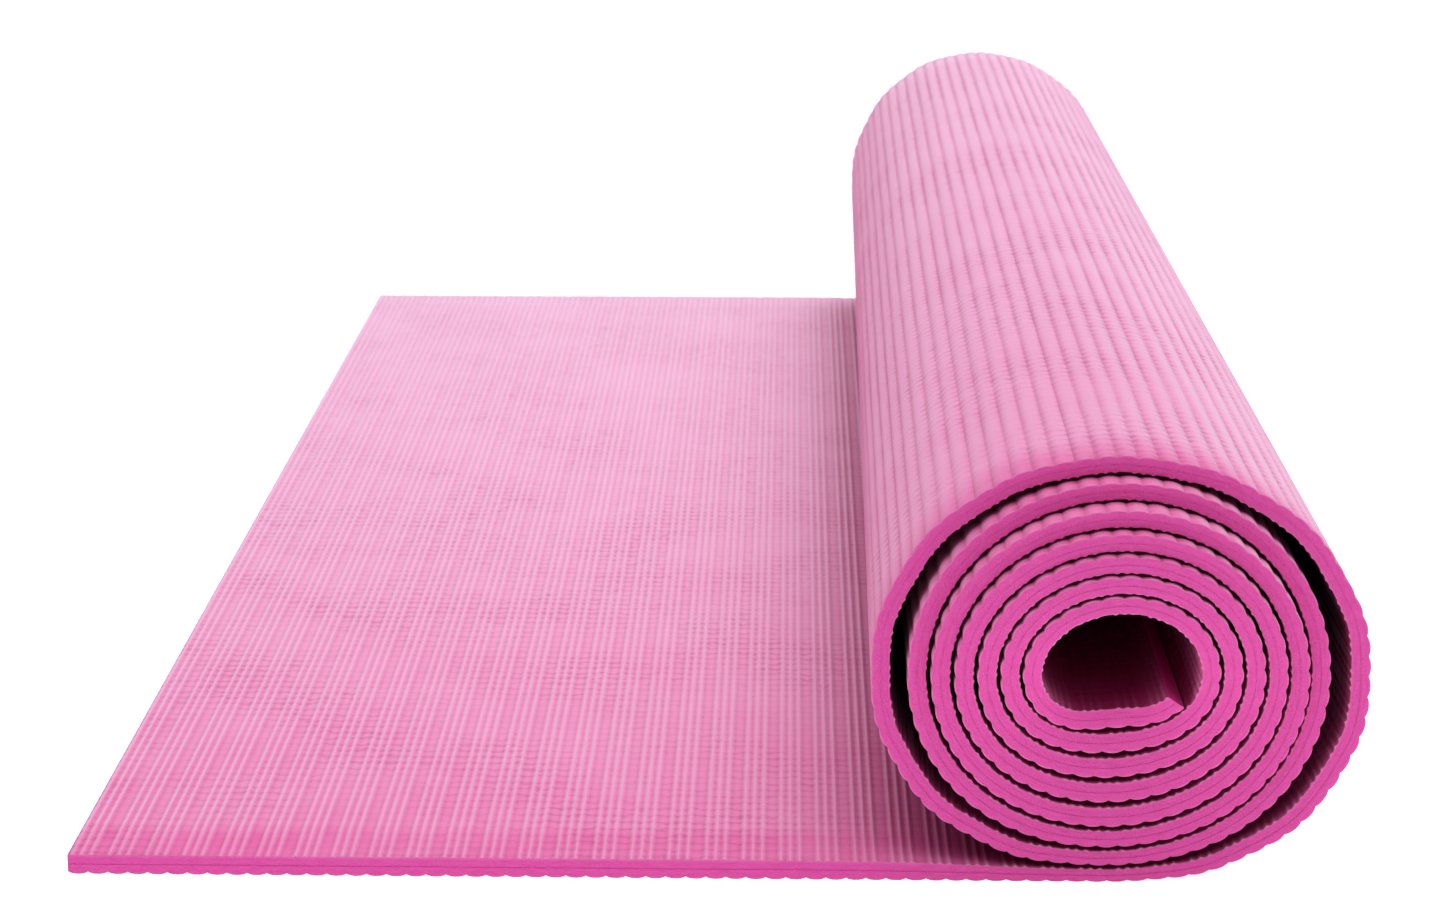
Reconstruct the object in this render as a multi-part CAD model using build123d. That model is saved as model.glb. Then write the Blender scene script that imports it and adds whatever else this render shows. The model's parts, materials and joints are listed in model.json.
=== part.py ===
from build123d import *
import os
from math import asin, atan2, ceil, cos, degrees, hypot, pi, radians, sin, tan

# Roll-up exercise mat, drawn partly unrolled: a flat part lies on the floor and the rest is
# wound into a soft oval coil. Millimetres. +X runs along the mat from the free end towards
# the coil, +Y along the coil, +Z up. The origin is on the floor, at mid-width, under the
# middle of the coil, where the mat leaves the floor: the foot of the coil.
#
# The sheet is three layers: ribbed lower foam, a thin yarn scrim, and upper foam. It is cut
# across into short sections that can turn on one another, because a rigid solid can't bend.

# ---- Driving dimensions ----
MAT_WIDTH = 610.0
SHEET_THICKNESS = 5.0        # over the ribs, with no load on the foam
SCRIM_THICKNESS = 0.3
FLAT_LENGTH = 239.0          # free end to the foot of the coil
COIL_TURNS = 7.21            # foot of the coil to the inner free end

MEAN_RADIUS = 52.4           # middle of the sheet at the foot, before ovality and load
TURN_PITCH = 5.22            # mean step from one turn to the next
OVALITY = 0.8                # half the difference of width and height radii
LOOSE_SIDES = 3.4            # the outer turn stands off the next one at both sides
LOOSE_RIGHT_SHARE = 0.15     # and a little more on the side away from the flat part
LIFT_PER_TURN = 0.75         # inner turns are wound tighter over the top, so they sit higher
TOP_SQUEEZE = 0.17           # share of the thickness that is squeezed out there
SQUEEZE_START_TURNS = 0.5    # turns from the foot in which the squeeze builds up

LOADED_TURNS = 3.0           # outer turns that the coil's weight presses flat at the foot
LOAD_SINK = 3.7              # how far the outer turn is pressed in
LOAD_SINK_POWER = 1.6
LOAD_THINNING = 0.33         # share of the thickness lost under full load
LOAD_THINNING_POWER = 0.7
LOAD_SPREAD_POWER = 4        # how quickly the load fades away from the foot

FLAP_SECTIONS = 6            # sections of the flat part that curl up at the free end
FOOT_LENGTH = 45.0           # flat length of the section that stays on the floor
TURN_DIVISIONS = 14          # equal steps of the loose outer turn. The first belongs to the
                             # foot and the last to the coil; those between unroll.
FLAP_CURL = 15.0             # degrees that each flap section turns on the one before
SECTION_GAP = 0.2            # running gap between neighbouring sections
LOWEST_DEGREES = range(-20, 60)  # round the foot, where a turn's lowest point is looked for

UNDERSIDE = 0.0              # levels through the sheet, as shares of its thickness
SCRIM_BOTTOM = 0.5 - SCRIM_THICKNESS / SHEET_THICKNESS / 2
SCRIM_MIDDLE = 0.5
SCRIM_TOP = 0.5 + SCRIM_THICKNESS / SHEET_THICKNESS / 2
UPPER_SIDE = 1.0
LAYERS = {
    "lower_foam": (UNDERSIDE, SCRIM_BOTTOM),
    "scrim": (SCRIM_BOTTOM, SCRIM_TOP),
    "upper_foam": (SCRIM_TOP, UPPER_SIDE),
}

TURN = 2 * pi
POINT_STEP = radians(12)     # widest spacing of the points that a wound outline runs through
FLAT_POINT_STEP = 9.0
TANGENT_STEP = 1e-4


# ---- The sheet as a surface: place along it, and level through it ----
# A place is a length in mm when negative (the flat part, measured back from the foot) and
# an angle in radians when positive (wound round the coil from its foot, anticlockwise).

def load_share(angle):
    """1 straight under the coil, fading to 0 a quarter turn away."""
    return max(0.0, cos(angle)) ** LOAD_SPREAD_POWER


def load_on_turn(turns):
    """1 on the turn that touches the floor, 0 from the turn that carries no load."""
    return max(0.0, 1 - turns / LOADED_TURNS)


def thickness(place):
    if place < 0:
        angle = max(place / MEAN_RADIUS, -pi / 2)
        turns = 0.0
    else:
        angle = place
        turns = place / TURN
    thinning = LOAD_THINNING * load_on_turn(turns) ** LOAD_THINNING_POWER * load_share(angle)
    squeeze = TOP_SQUEEZE * min(1.0, turns / SQUEEZE_START_TURNS) * (1 - cos(angle)) / 2
    return SHEET_THICKNESS * (1 - thinning) * (1 - squeeze)


def middle_radius(angle):
    """Distance from the coil's centre to the middle of the sheet."""
    turns = angle / TURN
    radius = MEAN_RADIUS - TURN_PITCH * turns
    radius -= OVALITY * cos(2 * angle)
    radius -= LOAD_SINK * load_on_turn(turns) ** LOAD_SINK_POWER * load_share(angle)
    radius -= LIFT_PER_TURN * turns * cos(angle)
    if turns < 1:
        radius += LOOSE_SIDES * sin(angle) ** 2 * (1 + LOOSE_RIGHT_SHARE * sin(angle))
    return radius


COIL_CENTRE_HEIGHT = middle_radius(0.0) + thickness(0.0) / 2


def middle_point(angle):
    radius = middle_radius(angle)
    return radius * sin(angle), COIL_CENTRE_HEIGHT - radius * cos(angle)


def sheet_point(place, level):
    """X and Z of a point in the sheet."""
    if place <= 0:
        return place, level * thickness(place)
    x, z = middle_point(place)
    x_ahead, z_ahead = middle_point(place + TANGENT_STEP)
    run = x_ahead - x
    rise = z_ahead - z
    inward = (level - SCRIM_MIDDLE) * thickness(place) / hypot(run, rise)
    return x - rise * inward, z + run * inward


def length_per_place(place, level):
    """How long one unit of place is, at a level."""
    x, z = sheet_point(place, level)
    x_ahead, z_ahead = sheet_point(place + TANGENT_STEP, level)
    return hypot(x_ahead - x, z_ahead - z) / TANGENT_STEP


# ---- Sections and the hinge lines between them ----
# A hinge line runs across the mat at the middle of the scrim. The sheet bends there.

turn_places = [TURN * k / TURN_DIVISIONS for k in range(1, TURN_DIVISIONS)]
coil_end_place = TURN * COIL_TURNS
flap_length = (FLAT_LENGTH - FOOT_LENGTH) / FLAP_SECTIONS
flap_places = [-FOOT_LENGTH - flap_length * k for k in range(FLAP_SECTIONS + 1)]
turn_hinges = [sheet_point(place, SCRIM_MIDDLE) for place in turn_places]
flap_hinges = [sheet_point(place, SCRIM_MIDDLE) for place in flap_places[:-1]]


def unroll_angles():
    """Degrees that each hinge of the outer turn opens, so that the turn lies along the floor
    and the coil, rolled by exactly one turn, rests on its underside again."""
    chords = []
    directions = []
    for (x_start, z_start), (x_end, z_end) in zip(turn_hinges, turn_hinges[1:]):
        chords.append(hypot(x_end - x_start, z_end - z_start))
        directions.append(degrees(atan2(z_end - z_start, x_end - x_start)) % 360)
    under_coil = [TURN + radians(degree) for degree in LOWEST_DEGREES]
    coil_bottom = min(sheet_point(place, UNDERSIDE)[1] for place in under_coil)
    height_change = turn_hinges[-1][1] - coil_bottom - turn_hinges[0][1]
    laid_direction = degrees(asin(height_change / sum(chords)))

    rest = [0.0] + directions + [360.0]
    laid = [0.0] + [laid_direction] * len(chords) + [0.0]
    turned = [before - after for before, after in zip(rest, laid)]
    return [end - start for start, end in zip(turned, turned[1:])]


opening_angles = unroll_angles()


# ---- Solids ----

def level_places(first, last):
    """Places that an outline runs through, with the foot's own place among them."""
    places = [first]
    if first < 0:
        flat_end = min(last, 0.0)
        count = ceil((flat_end - first) / FLAT_POINT_STEP)
        places = [first + (flat_end - first) * k / count for k in range(count + 1)]
    if last > 0:
        wound_start = places[-1]
        count = ceil((last - wound_start) / POINT_STEP) + 1
        places += [wound_start + (last - wound_start) * (k + 1) / count for k in range(count)]
    return places


def level_edges(first, last, level):
    """Edges that follow one level of the sheet. Flat stretches of even height are lines."""
    places = level_places(first, last)
    points = [(x, 0.0, z) for x, z in (sheet_point(place, level) for place in places)]
    if first >= 0:
        return [Spline(*points)]
    if level == UNDERSIDE and last > 0:
        foot = places.index(0.0)
        return [Line(points[0], points[foot]), Spline(*points[foot:])]
    if level == UNDERSIDE or thickness(last) == SHEET_THICKNESS:
        return [Line(points[0], points[-1])]
    return [Spline(*points)]


def layer_face(start, end, levels, reliefs):
    """Outline of one layer of one section, in the XZ plane. reliefs gives, for the start and
    the end, (degrees, side): the layer's end is cut back on that side of the scrim."""
    outlines = []
    for level in levels:
        cuts = []
        for relief, side in reliefs:
            depth = max(0.0, (level - SCRIM_MIDDLE) * side * SHEET_THICKNESS)
            cuts.append(SECTION_GAP / 2 + depth * tan(radians(relief)))
        first = start + cuts[0] / length_per_place(start, level)
        last = end - cuts[1] / length_per_place(end, level)
        outlines.append(level_edges(first, last, level))
    low, high = outlines
    sides = [Line(low[0] @ 0, high[0] @ 0), Line(low[-1] @ 1, high[-1] @ 1)]
    return Face(Wire(low + high + sides))


def write_section(name, start, end, reliefs):
    for layer, levels in LAYERS.items():
        face = layer_face(start, end, levels, reliefs)
        solid = extrude(Pos(0, MAT_WIDTH / 2, 0) * face, amount=MAT_WIDTH, dir=(0, -1, 0))
        export_step(solid, f"parts/{layer}_{name}.step")


UNDER = -1                   # side of the scrim that closes as the coil is unrolled
OVER = 1                     # side of the scrim that closes as the flap curls up
NO_RELIEF = (0.0, OVER)
RELIEF_MARGIN = 1.0          # degrees cut away beyond half the hinge's travel

curl_relief = (FLAP_CURL / 2 + RELIEF_MARGIN, OVER)
unroll_reliefs = [(angle / 2 + RELIEF_MARGIN, UNDER) for angle in opening_angles]

os.makedirs("parts", exist_ok=True)

for k in range(FLAP_SECTIONS):
    free_side = NO_RELIEF if k == FLAP_SECTIONS - 1 else curl_relief
    write_section(f"flap_{k + 1}", flap_places[k + 1], flap_places[k], (free_side, curl_relief))

write_section("foot", flap_places[0], turn_places[0], (curl_relief, unroll_reliefs[0]))

for k in range(len(turn_places) - 1):
    write_section(f"turn_{k + 1:02d}", turn_places[k], turn_places[k + 1],
                  (unroll_reliefs[k], unroll_reliefs[k + 1]))

write_section("coil", turn_places[-1], coil_end_place, (unroll_reliefs[-1], NO_RELIEF))
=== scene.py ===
"""Looks of a roll-up exercise mat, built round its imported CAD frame. Metres.

The mat is one sheet: ribbed lower foam, a yarn scrim, and embossed upper foam. A place in the
sheet is given by s, the distance from the free end along the middle of the sheet, by y across
the mat, and by a height above the middle. Every piece is a stretch of one layer, and bends
with the CAD bodies that it lies on.
"""
import json
import math

import bpy
import numpy as np
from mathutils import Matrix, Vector

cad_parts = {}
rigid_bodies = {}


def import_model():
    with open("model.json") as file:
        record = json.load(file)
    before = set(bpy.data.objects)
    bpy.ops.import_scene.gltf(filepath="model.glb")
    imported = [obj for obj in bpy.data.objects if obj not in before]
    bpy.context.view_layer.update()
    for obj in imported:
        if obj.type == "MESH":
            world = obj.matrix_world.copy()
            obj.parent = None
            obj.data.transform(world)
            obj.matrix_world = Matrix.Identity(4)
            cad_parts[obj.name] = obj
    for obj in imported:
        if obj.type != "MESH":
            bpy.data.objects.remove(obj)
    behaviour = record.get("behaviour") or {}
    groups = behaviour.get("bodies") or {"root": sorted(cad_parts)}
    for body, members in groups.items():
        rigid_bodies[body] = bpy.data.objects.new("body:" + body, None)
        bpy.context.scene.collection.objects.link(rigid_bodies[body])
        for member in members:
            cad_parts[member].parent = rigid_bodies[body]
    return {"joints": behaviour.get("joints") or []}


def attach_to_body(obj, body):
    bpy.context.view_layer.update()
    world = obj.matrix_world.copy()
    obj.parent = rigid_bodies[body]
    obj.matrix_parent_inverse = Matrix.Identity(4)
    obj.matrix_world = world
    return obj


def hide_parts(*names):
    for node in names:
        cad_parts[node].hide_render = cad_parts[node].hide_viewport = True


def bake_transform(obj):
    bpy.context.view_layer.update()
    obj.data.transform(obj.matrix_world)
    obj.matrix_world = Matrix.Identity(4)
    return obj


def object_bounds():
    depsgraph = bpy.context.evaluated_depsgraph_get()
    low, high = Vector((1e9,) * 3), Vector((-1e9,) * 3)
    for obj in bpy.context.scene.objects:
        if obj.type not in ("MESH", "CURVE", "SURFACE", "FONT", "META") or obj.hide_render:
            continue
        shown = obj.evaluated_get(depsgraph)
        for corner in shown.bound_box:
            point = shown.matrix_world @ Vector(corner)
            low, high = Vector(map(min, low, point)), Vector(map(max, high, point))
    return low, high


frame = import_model()
cad_low, cad_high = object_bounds()

MM = 0.001
TURN = 2 * math.pi

# ---- The sheet's path: the same driving dimensions as the CAD model ----
SHEET_THICKNESS = 5.0 * MM
SCRIM_THICKNESS = 0.3 * MM
FLAT_LENGTH = 239.0 * MM
COIL_TURNS = 7.21
MEAN_RADIUS = 52.4 * MM
TURN_PITCH = 5.22 * MM
OVALITY = 0.8 * MM
LOOSE_SIDES = 3.4 * MM
LOOSE_RIGHT_SHARE = 0.15
LIFT_PER_TURN = 0.75 * MM
TOP_SQUEEZE = 0.17
SQUEEZE_START_TURNS = 0.5
LOADED_TURNS = 3.0
LOAD_SINK = 3.7 * MM
LOAD_SINK_POWER = 1.6
LOAD_THINNING = 0.33
LOAD_THINNING_POWER = 0.7
LOAD_SPREAD_POWER = 4
NEAR_EDGE = cad_low.y
FAR_EDGE = cad_high.y
PATH_STEP = 0.05 * MM

# ---- How the winding is less than perfect ----
TELESCOPE = 19.0 * MM         # how far the tops of the inner turns lean out at the near end
TELESCOPE_START = 0.97        # turns from the foot, past the last hinge
TELESCOPE_TURNS = 1.5         # turns in which about two thirds of it builds up
FAR_NARROWING = 0.10          # share of its width that the coil loses towards its far end
FAR_GROWTH = 0.03             # and share of its height that it gains there

# ---- Relief of the two surfaces ----
RIB_PITCH = 4.6 * MM          # ribs of the underside, across the mat
RIB_DEPTH = 0.55 * MM
RIB_SHARPNESS = 2.4           # the higher, the flatter the crests and the narrower the notches
CORD_PITCH = 2.15 * MM        # raised cords of the upper side
CORD_PLACES = 4               # in each group: three cords and one place left bare
CORD_HEIGHT = 0.30 * MM
CORD_HALF_WIDTH = 0.42 * MM


def load_share(angle):
    return np.maximum(0.0, np.cos(angle)) ** LOAD_SPREAD_POWER


def load_on_turn(turns):
    return np.maximum(0.0, 1 - turns / LOADED_TURNS)


def path_thickness(place):
    """place is a length when negative, on the flat part, and an angle when positive."""
    angle = np.where(place < 0, np.maximum(place / MEAN_RADIUS, -math.pi / 2), place)
    turns = np.where(place < 0, 0.0, place / TURN)
    thinning = LOAD_THINNING * load_on_turn(turns) ** LOAD_THINNING_POWER * load_share(angle)
    squeeze = np.minimum(1.0, turns / SQUEEZE_START_TURNS) * (1 - np.cos(angle)) / 2
    return SHEET_THICKNESS * (1 - thinning) * (1 - TOP_SQUEEZE * squeeze)


def wound_radius(angle):
    turns = angle / TURN
    radius = MEAN_RADIUS - TURN_PITCH * turns
    radius = radius - OVALITY * np.cos(2 * angle)
    radius = radius - LOAD_SINK * load_on_turn(turns) ** LOAD_SINK_POWER * load_share(angle)
    radius = radius - LIFT_PER_TURN * turns * np.cos(angle)
    loose = LOOSE_SIDES * np.sin(angle) ** 2 * (1 + LOOSE_RIGHT_SHARE * np.sin(angle))
    return radius + np.where(turns < 1, loose, 0.0)


class Path:
    """The middle line of the sheet, tabulated against the distance s from the free end."""

    def __init__(self):
        flat = np.arange(-FLAT_LENGTH, 0.0, PATH_STEP)
        wound = np.arange(0.0, COIL_TURNS * TURN, PATH_STEP / MEAN_RADIUS)
        self.centre_height = float(wound_radius(0.0) + path_thickness(0.0) / 2)
        radius = wound_radius(wound)
        x = np.concatenate([flat, radius * np.sin(wound)])
        z = np.concatenate([path_thickness(flat) / 2,
                            self.centre_height - radius * np.cos(wound)])
        step = np.hypot(np.diff(x), np.diff(z))
        self.s = np.concatenate([[0.0], np.cumsum(step)])
        slope_x = np.gradient(x, self.s)
        slope_z = np.gradient(z, self.s)
        slope_x[:len(flat)] = 1.0
        slope_z[:len(flat)] = 0.0
        self.x, self.z = x, z
        self.normal_x, self.normal_z = -slope_z, slope_x
        self.angle = np.concatenate([np.zeros(len(flat)), wound])
        self.thickness = path_thickness(np.concatenate([flat, wound]))
        self.foot = float(self.s[len(flat)])
        self.length = float(self.s[-1])

    def at(self, values, s):
        return np.interp(s, self.s, values)

    def point(self, s, height):
        """X and Z of points at a height above the middle line."""
        x = self.at(self.x, s) + height * self.at(self.normal_x, s)
        z = self.at(self.z, s) + height * self.at(self.normal_z, s)
        return x, z

    def s_of_hinge(self, joint):
        """Where along the sheet a joint's axis lies."""
        x, _, z = joint["pos_m"]
        if x < 0 and z < SHEET_THICKNESS:
            return FLAT_LENGTH + x
        angle = math.atan2(x, self.centre_height - z) % TURN
        return float(np.interp(angle, self.angle[self.s > self.foot], self.s[self.s > self.foot]))


path = Path()


def sheet_points(s, y, height):
    """Places in space of points of the wound and flat sheet, as an array of X, Y and Z."""
    x, z = path.point(s, height)
    wound = s > path.foot
    along_coil = (y - NEAR_EDGE) / (FAR_EDGE - NEAR_EDGE)
    x = np.where(wound, x * (1 - FAR_NARROWING * along_coil), x)
    z = np.where(wound, z * (1 + FAR_GROWTH * along_coil), z)
    angle = path.at(path.angle, s)
    past_start = np.maximum(0.0, angle / TURN - TELESCOPE_START)
    lean = (1 - np.exp(-past_start / TELESCOPE_TURNS)) * (1 - np.cos(angle)) / 2
    return np.stack([x, y - TELESCOPE * lean, z], -1)


# ---- Which bodies lie where along the sheet ----

class Hinge:
    """A joint's place along the sheet, and the bodies before and after it. The joints of the
    flat part run back towards the free end, so there the child comes before its parent."""

    def __init__(self, joint):
        self.s = path.s_of_hinge(joint)
        self.travel = math.radians(joint["range_deg"][1])
        self.before, self.after = joint["parent"], joint["child"]
        if self.s < path.foot:
            self.before, self.after = self.after, self.before


hinges = sorted((Hinge(joint) for joint in frame["joints"]), key=lambda hinge: hinge.s)


def snapped(s):
    """The nearest notch between two ribs, where a join between pieces can't be seen."""
    return round(s / RIB_PITCH) * RIB_PITCH


class Stretch:
    """A length of the sheet that rides on one body, or bends between two."""

    def __init__(self, start, end, bodies, hinge=None):
        self.start, self.end, self.bodies, self.hinge = start, end, bodies, hinge


def plan_stretches():
    """Each hinge gets a stretch that bends, as long as its shorter neighbour allows."""
    edges = [0.0] + [hinge.s for hinge in hinges] + [path.length]
    halves = []
    for k, hinge in enumerate(hinges):
        before = edges[k + 1] - edges[k]
        after = edges[k + 2] - edges[k + 1]
        halves.append(min(before, after) / 2)
    stretches = []
    reached = 0.0
    for hinge, half in zip(hinges, halves):
        start, end = snapped(hinge.s - half), snapped(hinge.s + half)
        if start - reached > RIB_PITCH / 2:
            stretches.append(Stretch(reached, start, (hinge.before,)))
            reached = start
        stretches.append(Stretch(reached, end, (hinge.before, hinge.after), hinge))
        reached = end
    stretches.append(Stretch(reached, path.length, (hinges[-1].after,)))
    return stretches


stretches = plan_stretches()


BULGE_SHARE = 0.3            # of an arc's rise. 0 is round when wound, 1 is flat when laid.


def hinge_bulge(s):
    """The outer turn stands out a little over each hinge line. This shares the bend that a
    stiff section keeps between the wound and the unrolled shape."""
    bulge = np.zeros_like(s)
    for stretch in stretches:
        hinge = stretch.hinge
        if hinge is None or hinge.s < path.foot:
            continue
        arc_rise = (stretch.end - stretch.start) * hinge.travel / 8
        before = (s - stretch.start) / (hinge.s - stretch.start)
        after = (stretch.end - s) / (stretch.end - hinge.s)
        nearness = np.clip(np.minimum(before, after), 0.0, 1.0)
        bulge += BULGE_SHARE * arc_rise * (1 - np.cos(math.pi * nearness)) / 2
    return bulge


# ---- Surfaces, as heights above the middle line ----

def rib_stations(start, end, points):
    """Where the mesh has points along the sheet, with so many points to each rib."""
    count = max(1, round((end - start) / RIB_PITCH)) * points
    return np.linspace(start, end, count + 1)


def underside_height(s, y):
    across = np.abs(2 * ((s / RIB_PITCH) % 1.0) - 1)
    half = path.at(path.thickness, s) / 2
    notch = RIB_DEPTH * 2 * half / SHEET_THICKNESS * across ** RIB_SHARPNESS
    return corner_drop(y) + notch - half


def cord_height(s):
    group = CORD_PITCH * CORD_PLACES
    within = s % group
    height = np.zeros_like(s)
    for k in range(CORD_PLACES - 1):
        away = (within - (k + 0.5) * CORD_PITCH) / CORD_HALF_WIDTH
        height += CORD_HEIGHT * np.exp(-away ** 2)
    return height


def upper_side_height(s, y):
    return path.at(path.thickness, s) / 2 - CORD_HEIGHT + cord_height(s) - corner_drop(y)


def scrim_underside(s, y):
    return np.full_like(s, -SCRIM_THICKNESS / 2)


def scrim_upper_side(s, y):
    return np.full_like(s, SCRIM_THICKNESS / 2)


# ---- Mesh of one layer of one stretch ----

SURFACE, CUT = 0, 1
SHARP_ANGLE = math.radians(50)
ROWS_ACROSS = 30                     # between the soft corners
EDGE_RADIUS = 0.22 * MM              # soft corner along both cut edges
EDGE_ANGLES = np.radians([0.0, 30.0, 60.0, 90.0])
SCRIM_INSET = 0.1 * MM               # the scrim ends just inside the cut edge


def rows_across(inset):
    """Y of the rows of points, close together round the two soft corners."""
    corner = EDGE_RADIUS * (1 - np.cos(EDGE_ANGLES)) + inset
    inner = np.linspace(NEAR_EDGE + corner[-1], FAR_EDGE - corner[-1], ROWS_ACROSS + 1)
    return np.concatenate([NEAR_EDGE + corner[:-1], inner, FAR_EDGE - corner[-2::-1]])


def corner_drop(y):
    """How far a surface falls away at the soft corner of a cut edge."""
    from_edge = np.clip(np.minimum(y - NEAR_EDGE, FAR_EDGE - y) / EDGE_RADIUS, 0.0, 1.0)
    return EDGE_RADIUS * (1 - np.sqrt(1 - (1 - from_edge) ** 2))


def layer_mesh(name, stations, low, high, materials, inset=0.0):
    """A closed sheet between two height functions, with UVs of (s, y) in metres."""
    ys = rows_across(inset)
    n_s, n_y = len(stations), len(ys)
    s, y = np.meshgrid(stations, ys, indexing="ij")
    bulge = hinge_bulge(stations)[:, None]
    vertices = [sheet_points(s, y, surface(s, y) - bulge).reshape(-1, 3) for surface in (low, high)]
    vertices = np.concatenate(vertices)
    index = np.arange(2 * n_s * n_y).reshape(2, n_s, n_y)

    def quads(a, b, c, d):
        return np.stack([a.ravel(), b.ravel(), c.ravel(), d.ravel()], -1)

    under, over = index
    faces = [
        quads(over[:-1, :-1], over[1:, :-1], over[1:, 1:], over[:-1, 1:]),
        quads(under[:-1, :-1], under[:-1, 1:], under[1:, 1:], under[1:, :-1]),
        quads(under[:-1, 0], under[1:, 0], over[1:, 0], over[:-1, 0]),
        quads(under[:-1, -1], over[:-1, -1], over[1:, -1], under[1:, -1]),
        quads(under[0, :-1], over[0, :-1], over[0, 1:], under[0, 1:]),
        quads(under[-1, :-1], under[-1, 1:], over[-1, 1:], over[-1, :-1]),
    ]
    kinds = [SURFACE, SURFACE, CUT, CUT, CUT, CUT]
    kind = np.concatenate([np.full(len(f), k) for f, k in zip(faces, kinds)])
    faces = np.concatenate(faces)

    mesh = bpy.data.meshes.new(name)
    mesh.from_pydata(vertices.tolist(), [], faces.tolist())
    for material in materials:
        mesh.materials.append(material)
    mesh.polygons.foreach_set("material_index", kind.astype(np.int32))
    mesh.polygons.foreach_set("use_smooth", np.ones(len(faces), bool))

    along = np.tile(s.ravel(), 2)
    across = np.tile(y.ravel(), 2)
    level = np.concatenate([low(s, y).ravel(), high(s, y).ravel()])
    corner = faces.ravel()
    cut_corner = np.repeat(kind == CUT, 4)
    uv = np.stack([along[corner], np.where(cut_corner, level[corner], across[corner])], -1)
    layer = mesh.uv_layers.new(name="sheet")
    layer.data.foreach_set("uv", uv.astype(np.float32).ravel())
    mesh.set_sharp_from_angle(angle=SHARP_ANGLE)
    mesh.update()
    piece = bpy.data.objects.new(name, mesh)
    bpy.context.scene.collection.objects.link(piece)
    return piece


# ---- Materials ----

COLOUR_A, COLOUR_B, COLOUR_RESULT = 6, 7, 2     # sockets of a Mix node that mixes colours


class Nodes:
    """Short helpers for building a node tree."""

    def __init__(self, tree):
        self.tree = tree

    def add(self, kind, **settings):
        node = self.tree.nodes.new(kind)
        for key, value in settings.items():
            setattr(node, key, value)
        return node

    def link(self, source, target):
        self.tree.links.new(source, target)

    def value(self, source, target):
        if isinstance(source, (int, float)):
            target.default_value = source
        else:
            self.link(source, target)

    def math(self, operation, a, b=0.0, c=0.0, clamp=False):
        node = self.add("ShaderNodeMath", operation=operation, use_clamp=clamp)
        for source, target in zip((a, b, c), node.inputs):
            self.value(source, target)
        return node.outputs[0]

    def crest(self, cycles):
        """0 at each whole number of cycles and 1 halfway between two."""
        return self.math("MULTIPLY", self.math("PINGPONG", cycles, 0.5), 2.0)

    def noise(self, vector, per_metre, detail=2.0):
        node = self.add("ShaderNodeTexNoise")
        self.link(vector, node.inputs["Vector"])
        node.inputs["Scale"].default_value = per_metre
        node.inputs["Detail"].default_value = detail
        return node.outputs["Fac"]

    def sheet_position(self):
        """s, y and a vector of both, in metres."""
        uv = self.add("ShaderNodeUVMap", uv_map="sheet")
        split = self.add("ShaderNodeSeparateXYZ")
        self.link(uv.outputs[0], split.inputs[0])
        return split.outputs[0], split.outputs[1], uv.outputs[0]

    def scaled(self, vector, x, y):
        node = self.add("ShaderNodeVectorMath", operation="MULTIPLY")
        self.link(vector, node.inputs[0])
        node.inputs[1].default_value = (x, y, 1.0)
        return node.outputs[0]

    def mix(self, factor, a, b):
        node = self.add("ShaderNodeMix", data_type="RGBA")
        self.value(factor, node.inputs["Factor"])
        for colour, socket in ((a, node.inputs[COLOUR_A]), (b, node.inputs[COLOUR_B])):
            if isinstance(colour, tuple):
                socket.default_value = (*colour, 1.0)
            else:
                self.link(colour, socket)
        return node.outputs[COLOUR_RESULT]

    def ramp(self, factor, low, high):
        """Straight from 0 at low to 1 at high."""
        node = self.add("ShaderNodeMapRange")
        self.value(factor, node.inputs["Value"])
        node.inputs["From Min"].default_value = low
        node.inputs["From Max"].default_value = high
        return node.outputs[0]

    def bump(self, height, distance):
        node = self.add("ShaderNodeBump")
        node.inputs["Strength"].default_value = 1.0
        node.inputs["Distance"].default_value = distance
        self.link(height, node.inputs["Height"])
        return node.outputs[0]


class MaterialNodes(Nodes):
    """The nodes of a new material with one principled shader."""

    def __init__(self, name):
        self.material = bpy.data.materials.new(name)
        self.material.use_nodes = True
        super().__init__(self.material.node_tree)
        self.tree.nodes.clear()
        output = self.add("ShaderNodeOutputMaterial")
        self.shader = self.add("ShaderNodeBsdfPrincipled")
        self.link(self.shader.outputs[0], output.inputs[0])


PINK = (0.78, 0.135, 0.40)           # lit foam skin
PALE_PINK_AND_HIGHLIGHT = (0.95, 0.66, 0.86)       # pale clouds in the skin, painted sheen at a low angle, and painted highlight on cords and rib crests
RECESS_SHADE_PINK = (0.42, 0.03, 0.15)       # painted shade down in the weave and in the pits of cut foam
CUT_PINK = (0.74, 0.075, 0.38)       # cut foam, with no skin
CUT_PALE_AND_HIGHLIGHT = (0.92, 0.20, 0.57)        # paler streaks where the blade dragged, and painted highlight along its two lips and on yarn strands
ENCLOSED_SHADE_PINK = (0.26, 0.004, 0.09)  # painted shade on skin that other turns or the floor close in

# A range gives the two input values between which an effect grows from none to full.
EMBOSS_DEPTH = 0.25 * MM             # all depths of the weave below are shares of it
THREAD_PITCH = 4.4 * MM              # cross threads of the emboss
THREAD_SHARPNESS = 2.5
THREAD_SWAY = 1.1                    # how far a thread strays, in pitches
SWAY_PER_METRE = 260.0
PATCH_SIZE = 45.0 * MM               # patches where the cross threads took well
PATCH_RANGE = (0.38, 0.62)
PATCH_SHARE = 0.7                    # share of the threads' strength found only inside them
CORD_SHARPNESS = 2.0
THREADS_OVER_CORDS = 0.1             # share of the threads that shows on the crest of a cord
THREADS_OVER_RIBS = 0.3              # and on the crest of a rib
FURROW_DEPTH = 0.4                   # beside a cord
DOT_DEPTH = 0.7                      # where a cross thread shows between cords
NOTCH_SHARPNESS = 4.0
NOTCH_DEPTH = 0.25                   # between two ribs, where it is faintest
NOTCH_DEPTH_SPREAD = 0.4             # and how much deeper it gets elsewhere
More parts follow.
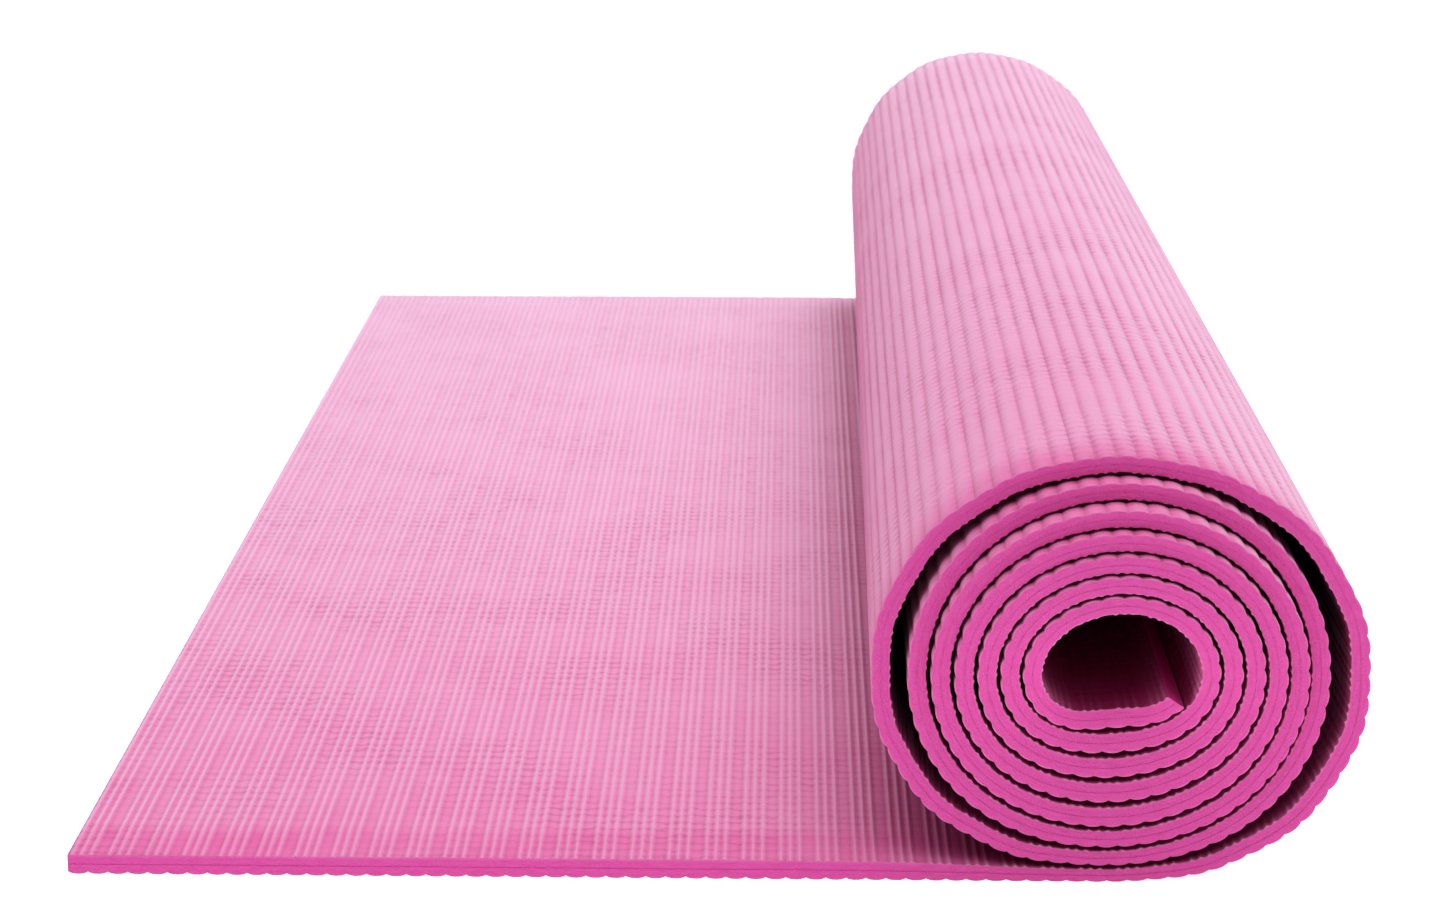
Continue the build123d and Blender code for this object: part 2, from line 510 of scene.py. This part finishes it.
NOTCH_SPREAD_PER_METRE = 24.0
NOTCH_SPREAD_RANGE = (0.3, 0.6)
LADDER_DEPTH = 0.75                  # where a cross thread meets a notch
RIB_HIGHLIGHT = 0.3                   # painted highlight on a rib's crest, against 1 for a cord's

GRAIN_PER_METRE = 2600.0             # fine grain of the skin
GRAIN_HEIGHT = 0.25
GRAIN_ROUGHNESS = 0.2
SKIN_ROUGHNESS = 0.55
SUNK_SHADE_SHARE = 0.55                    # how far painted shade turns sunk places deep pink
RAISED_HIGHLIGHT_SHARE = 0.3                   # how far a painted highlight turns raised places pale pink
MOTTLE_SHARE = 0.10                  # how far pale clouds in the skin do
MOTTLE_PER_METRE = 28.0
MOTTLE_RANGE = (0.35, 0.7)
PAINTED_SHEEN_SHARE = 0.85                  # how far painted sheen turns the skin pale at a low angle
PAINTED_SHEEN_UP_RANGE = (0.0, 0.95)        # upward part of the normal over which the painted sheen grows
PAINTED_SHEEN_LOST_WHEN_SUNK = 0.7          # share of the painted sheen that is lost in the deepest places
UPPER_SHEEN_RANGE = (0.60, 0.80)    # painted sheen on the upper skin: 0 is seen square on, 1 edge on
LOWER_SHEEN_RANGE = (0.64, 0.89)
ENCLOSURE_REACH = 45.0 * MM          # how near a surface has to be to close the skin in, for painted shade
ENCLOSURE_SAMPLES = 8
OPEN_RANGE = (0.10, 0.65)            # share of the directions that are open, from full painted shade to none

CELLS_PER_METRE = 2200.0             # open cells of the cut foam
CELL_DEPTH = 0.12 * MM
PIT_RANGE = (0.35, 0.0)              # distance from a cell's middle, in cell spacings
PIT_SHADE_SHARE = 0.18                     # how far painted shade turns the pits deep pink
DRAG_PER_METRE = 260.0               # streaks along the cut, where the blade dragged
DRAG_LENGTH = 6.0                    # length of a streak, in widths
DRAG_RANGE = (0.35, 0.8)
DRAG_SHARE = 0.25
# Painted highlight along the cut's two lips.
LIP_HIGHLIGHT_SHARE = 0.6
UPPER_LIP_RANGE = (0.30 * SHEET_THICKNESS, 0.48 * SHEET_THICKNESS)
LOWER_LIP_RANGE = (-0.36 * SHEET_THICKNESS, -0.50 * SHEET_THICKNESS)

YARN_STRAND = 1.2 * MM
YARN_DEPTH = 0.1 * MM


def cross_threads(nodes, y, position):
    """0 to 1 over each cross thread, swaying a little and patchy as from a worn roller."""
    sway = nodes.noise(position, SWAY_PER_METRE, detail=1.0)
    swayed = nodes.math("MULTIPLY_ADD", sway, THREAD_SWAY, nodes.math("DIVIDE", y, THREAD_PITCH))
    thread = nodes.math("POWER", nodes.crest(swayed), THREAD_SHARPNESS)
    patch = nodes.ramp(nodes.noise(position, 1 / PATCH_SIZE), *PATCH_RANGE)
    strength = nodes.math("MULTIPLY_ADD", patch, PATCH_SHARE, 1 - PATCH_SHARE)
    return nodes.math("MULTIPLY", thread, strength)


def upper_weave(nodes, s, y, position):
    """Cords in groups of three with a bare strip between. Gives raised and sunk shares."""
    group = nodes.math("FRACT", nodes.math("DIVIDE", s, CORD_PITCH * CORD_PLACES))
    cords = nodes.math("MULTIPLY", group, float(CORD_PLACES))
    crest = nodes.crest(cords)
    is_cord = nodes.math("LESS_THAN", cords, CORD_PLACES - 1.0)
    raised = nodes.math("MULTIPLY", nodes.math("POWER", crest, CORD_SHARPNESS), is_cord)
    furrow = nodes.math("POWER", nodes.math("SUBTRACT", 1.0, crest), CORD_SHARPNESS)
    bare = nodes.math("SUBTRACT", 1 + THREADS_OVER_CORDS, raised, clamp=True)
    dots = nodes.math("MULTIPLY", cross_threads(nodes, y, position), bare)
    dots = nodes.math("MULTIPLY", dots, DOT_DEPTH)
    return raised, nodes.math("MULTIPLY_ADD", furrow, FURROW_DEPTH, dots)


def lower_weave(nodes, s, y, position):
    """Ribs with notches between, and a ladder of cross threads over both. Gives raised and
    sunk shares."""
    crest = nodes.crest(nodes.math("DIVIDE", s, RIB_PITCH))
    notch = nodes.math("POWER", nodes.math("SUBTRACT", 1.0, crest), NOTCH_SHARPNESS)
    spread = nodes.ramp(nodes.noise(position, NOTCH_SPREAD_PER_METRE, detail=1.0),
                        *NOTCH_SPREAD_RANGE)
    depth = nodes.math("MULTIPLY_ADD", spread, NOTCH_DEPTH_SPREAD, NOTCH_DEPTH)
    notch = nodes.math("MULTIPLY", notch, depth)
    bare = nodes.math("SUBTRACT", 1 + THREADS_OVER_RIBS, crest, clamp=True)
    ladder = nodes.math("MULTIPLY", cross_threads(nodes, y, position), bare)
    sunk = nodes.math("ADD", notch, nodes.math("MULTIPLY", ladder, LADDER_DEPTH), clamp=True)
    return nodes.math("MULTIPLY", crest, RIB_HIGHLIGHT), sunk


def painted_sheen_mask(nodes, sheen_range):
    """Mask of the painted sheen: 1 on skin that faces up and is seen at a low angle, and 0
    elsewhere.
    """
    facing = nodes.add("ShaderNodeLayerWeight")
    facing.inputs["Blend"].default_value = 0.5
    painted_sheen = nodes.ramp(facing.outputs["Facing"], *sheen_range)
    normal = nodes.add("ShaderNodeSeparateXYZ")
    nodes.link(nodes.add("ShaderNodeNewGeometry").outputs["Normal"], normal.inputs[0])
    return nodes.math("MULTIPLY", painted_sheen, nodes.ramp(normal.outputs["Z"], *PAINTED_SHEEN_UP_RANGE))


def openness(nodes):
    """1 on open skin, and 0 where other turns or the floor close it in. It masks painted shade and
    sheen.
    """
    enclosure = nodes.add("ShaderNodeAmbientOcclusion", samples=ENCLOSURE_SAMPLES)
    enclosure.inputs["Distance"].default_value = ENCLOSURE_REACH
    return nodes.ramp(enclosure.outputs["AO"], *OPEN_RANGE)


def skin_material(name, weave, sheen_range):
    """Foamed vinyl skin with the woven emboss of the scrim showing through it. Painted sheen turns
    it pale at a low angle, and painted shade turns it deep pink where it is closed in."""
    nodes = MaterialNodes(name)
    s, y, position = nodes.sheet_position()
    raised, sunk = weave(nodes, s, y, position)
    # Painted shade: sunk places of the weave turn deep pink.
    colour = nodes.mix(nodes.math("MULTIPLY", sunk, SUNK_SHADE_SHARE, clamp=True), PINK, RECESS_SHADE_PINK)
    # Painted highlight: raised cords and rib crests turn pale pink.
    colour = nodes.mix(nodes.math("MULTIPLY", raised, RAISED_HIGHLIGHT_SHARE), colour, PALE_PINK_AND_HIGHLIGHT)
    mottle = nodes.ramp(nodes.noise(position, MOTTLE_PER_METRE, detail=3.0), *MOTTLE_RANGE)
    colour = nodes.mix(nodes.math("MULTIPLY", mottle, MOTTLE_SHARE), colour, PALE_PINK_AND_HIGHLIGHT)

    is_open = openness(nodes)
    smooth = nodes.math("MULTIPLY_ADD", sunk, -PAINTED_SHEEN_LOST_WHEN_SUNK, 1.0, clamp=True)
    # Painted sheen: pale where the skin faces up at a low angle, less where sunk or closed in.
    painted_sheen = nodes.math("MULTIPLY", painted_sheen_mask(nodes, sheen_range),
                        nodes.math("MULTIPLY", smooth, is_open))
    colour = nodes.mix(nodes.math("MULTIPLY", painted_sheen, PAINTED_SHEEN_SHARE), colour, PALE_PINK_AND_HIGHLIGHT)
    # Painted shade where other turns or the floor close the skin in.
    colour = nodes.mix(is_open, ENCLOSED_SHADE_PINK, colour)
    nodes.link(colour, nodes.shader.inputs["Base Color"])

    grain = nodes.noise(position, GRAIN_PER_METRE)
    rough = nodes.math("MULTIPLY_ADD", grain, GRAIN_ROUGHNESS, SKIN_ROUGHNESS)
    nodes.link(rough, nodes.shader.inputs["Roughness"])
    nodes.shader.inputs["Specular IOR Level"].default_value = 0.25
    nodes.shader.inputs["Sheen Weight"].default_value = 0.08
    nodes.shader.inputs["Sheen Roughness"].default_value = 0.4
    height = nodes.math("SUBTRACT", nodes.math("MULTIPLY", grain, GRAIN_HEIGHT), sunk)
    nodes.link(nodes.bump(height, EMBOSS_DEPTH), nodes.shader.inputs["Normal"])
    return nodes.material


def cut_material():
    """Fresh cut foam: saturated, matt, with fine open cells, painted shade in their pits and a
    painted highlight along its two lips.
    """
    nodes = MaterialNodes("cut_foam")
    _, level, position = nodes.sheet_position()
    cells = nodes.add("ShaderNodeTexVoronoi")
    nodes.link(position, cells.inputs["Vector"])
    cells.inputs["Scale"].default_value = CELLS_PER_METRE
    drag = nodes.noise(nodes.scaled(position, 1.0, DRAG_LENGTH), DRAG_PER_METRE, detail=3.0)
    dragged = nodes.math("MULTIPLY", nodes.ramp(drag, *DRAG_RANGE), DRAG_SHARE)
    colour = nodes.mix(dragged, CUT_PINK, CUT_PALE_AND_HIGHLIGHT)
    pit = nodes.ramp(cells.outputs["Distance"], *PIT_RANGE)
    # Painted shade in the pits of the open cells.
    colour = nodes.mix(nodes.math("MULTIPLY", pit, PIT_SHADE_SHARE), colour, RECESS_SHADE_PINK)
    # Painted highlight along the two lips of the cut.
    lip_highlight = nodes.math("MAXIMUM", nodes.ramp(level, *UPPER_LIP_RANGE),
                     nodes.ramp(level, *LOWER_LIP_RANGE))
    colour = nodes.mix(nodes.math("MULTIPLY", lip_highlight, LIP_HIGHLIGHT_SHARE), colour, CUT_PALE_AND_HIGHLIGHT)
    nodes.link(colour, nodes.shader.inputs["Base Color"])
    nodes.shader.inputs["Roughness"].default_value = 0.75
    nodes.shader.inputs["Specular IOR Level"].default_value = 0.2
    height = nodes.math("ADD", cells.outputs["Distance"], drag)
    nodes.link(nodes.bump(height, CELL_DEPTH), nodes.shader.inputs["Normal"])
    return nodes.material


def yarn_material():
    """Strands of yarn, side by side, that run across the mat."""
    nodes = MaterialNodes("scrim_yarn")
    s, _, _ = nodes.sheet_position()
    strands = nodes.math("SINE", nodes.math("MULTIPLY", s, TURN / YARN_STRAND))
    # Painted highlight on each strand's crest and painted shade between strands.
    colour = nodes.mix(nodes.ramp(strands, -1.0, 1.0), CUT_PINK, CUT_PALE_AND_HIGHLIGHT)
    nodes.link(colour, nodes.shader.inputs["Base Color"])
    nodes.shader.inputs["Roughness"].default_value = 0.8
    nodes.link(nodes.bump(strands, YARN_DEPTH), nodes.shader.inputs["Normal"])
    return nodes.material


UPPER_SKIN = skin_material("upper_skin", upper_weave, UPPER_SHEEN_RANGE)
LOWER_SKIN = skin_material("lower_skin", lower_weave, LOWER_SHEEN_RANGE)
CUT_FOAM = cut_material()
YARN = yarn_material()


# ---- Pieces ----

class Layer:
    """points and hidden_points are stations per rib, on open parts and inside the coil."""

    def __init__(self, name, low, high, skin, points, hidden_points, inset=0.0):
        self.name, self.low, self.high, self.skin = name, low, high, skin
        self.points, self.hidden_points, self.inset = points, hidden_points, inset


layers = [
    Layer("lower_foam", underside_height, scrim_underside, LOWER_SKIN, 10, 8),
    Layer("scrim", scrim_underside, scrim_upper_side, YARN, 2, 2, SCRIM_INSET),
    Layer("upper_foam", scrim_upper_side, upper_side_height, UPPER_SKIN, 13, 6),
]


def stretch_name(stretch):
    return "_to_".join(stretch.bodies)


def attach(piece, stretch, layer):
    """The piece stands for its layer's node of each body that it rides on."""
    if stretch.hinge is None:
        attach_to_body(piece, stretch.bodies[0])
    else:
        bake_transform(piece)
    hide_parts(*[f"{layer.name}_{body}" for body in stretch.bodies])


for stretch in stretches:
    for layer in layers:
        points = layer.hidden_points if stretch.bodies == ("coil",) else layer.points
        stations = rib_stations(stretch.start, stretch.end, points)
        piece = layer_mesh(f"{layer.name}_{stretch_name(stretch)}", stations, layer.low,
                           layer.high, [layer.skin, CUT_FOAM], layer.inset)
        attach(piece, stretch, layer)


# ---- Stage, light and camera ----

FLOOR_REACH = 6.0             # from the middle to each side
FLOOR_WHITE = (0.9, 0.9, 0.9, 1.0)
WHITE = (1.0, 1.0, 1.0, 1.0)
FLOOR_GLOW = 0.60             # towards the mat
FLOOR_SEEN_GLOW = 0.30        # added to it towards the camera
SKY = 1.8                     # brightness straight above
SKY_START = 0.35              # upward part of the direction in which it begins
SKY_LEAN_BACK = 0.10          # how much brighter it is towards the back
SKY_LEAN_RIGHT = 0.25         # and towards the right
SKY_DIM = 0.02                # brightness below the start
LIGHT_POSITION = (0.15, 0.4, 1.7)
LIGHT_SIZE = 1.5
LIGHT_POWER = 6.0


def camera_rays(nodes):
    return nodes.add("ShaderNodeLightPath").outputs["Is Camera Ray"]


def floor():
    """A white floor that glows a little, so that only contact shadows show on it."""
    mesh = bpy.data.meshes.new("floor")
    signs = [(-1, -1), (1, -1), (1, 1), (-1, 1)]
    corners = [(x * FLOOR_REACH, y * FLOOR_REACH, 0.0) for x, y in signs]
    mesh.from_pydata(corners, [], [(0, 1, 2, 3)])
    plane = bpy.data.objects.new("floor", mesh)
    bpy.context.scene.collection.objects.link(plane)
    nodes = MaterialNodes("pale_floor")
    nodes.shader.inputs["Base Color"].default_value = FLOOR_WHITE
    nodes.shader.inputs["Roughness"].default_value = 0.9
    nodes.shader.inputs["Specular IOR Level"].default_value = 0.0
    nodes.shader.inputs["Emission Color"].default_value = WHITE
    glow = nodes.math("MULTIPLY_ADD", camera_rays(nodes), FLOOR_SEEN_GLOW, FLOOR_GLOW)
    nodes.link(glow, nodes.shader.inputs["Emission Strength"])
    mesh.materials.append(nodes.material)


def overhead_light():
    """A wide soft light, aimed at the foot of the coil."""
    data = bpy.data.lights.new("overhead", "AREA")
    data.size = LIGHT_SIZE
    data.energy = LIGHT_POWER
    light = bpy.data.objects.new("overhead", data)
    light.location = LIGHT_POSITION
    light.rotation_euler = (-Vector(LIGHT_POSITION)).to_track_quat("-Z", "Y").to_euler()
    bpy.context.scene.collection.objects.link(light)


def world():
    """White to the camera. As a light it is bright above, more so at the back and the right,
    and dark low down."""
    surroundings = bpy.data.worlds.new("studio")
    surroundings.use_nodes = True
    nodes = Nodes(surroundings.node_tree)
    background = nodes.tree.nodes["Background"]
    direction = nodes.add("ShaderNodeTexCoord")
    split = nodes.add("ShaderNodeSeparateXYZ")
    nodes.link(direction.outputs["Generated"], split.inputs[0])
    x, y, z = split.outputs
    above = nodes.ramp(z, SKY_START, 1.0)
    lean = nodes.math("MULTIPLY_ADD", y, SKY_LEAN_BACK, 1.0)
    lean = nodes.math("MULTIPLY_ADD", x, SKY_LEAN_RIGHT, lean)
    light = nodes.math("MULTIPLY", nodes.math("MULTIPLY", above, lean), SKY)
    light = nodes.math("ADD", light, SKY_DIM)
    seen = camera_rays(nodes)
    unseen = nodes.math("SUBTRACT", 1.0, seen)
    nodes.link(nodes.math("MULTIPLY_ADD", light, unseen, seen), background.inputs["Strength"])
    background.inputs["Color"].default_value = WHITE
    bpy.context.scene.world = surroundings


CAMERA_POSITION = (-0.0731, -1.0311, 0.2943)
CAMERA_PITCH = math.radians(-15.03)
CAMERA_YAW = -0.0212                 # radians, to the left of +Y
LENS_LENGTH = 84.575                 # mm
SENSOR_WIDTH = 36.0                  # mm
FOCUS_POINT = (0.0, -0.25, 0.06)     # on the coil, near its cut end
APERTURE = 45.0                      # f-number


def camera():
    focus = bpy.data.objects.new("focus", None)
    focus.location = FOCUS_POINT
    bpy.context.scene.collection.objects.link(focus)
    data = bpy.data.cameras.new("camera")
    data.sensor_width = SENSOR_WIDTH
    data.lens = LENS_LENGTH
    data.clip_start = 0.01
    data.dof.use_dof = True
    data.dof.focus_object = focus
    data.dof.aperture_fstop = APERTURE
    eye = bpy.data.objects.new("camera", data)
    eye.location = CAMERA_POSITION
    aim = Vector((math.sin(CAMERA_YAW) * math.cos(CAMERA_PITCH),
                  math.cos(CAMERA_YAW) * math.cos(CAMERA_PITCH),
                  math.sin(CAMERA_PITCH)))
    eye.rotation_euler = aim.to_track_quat("-Z", "Y").to_euler()
    bpy.context.scene.collection.objects.link(eye)
    bpy.context.scene.camera = eye


floor()
world()
overhead_light()
camera()
bpy.context.scene.view_settings.view_transform = "Standard"
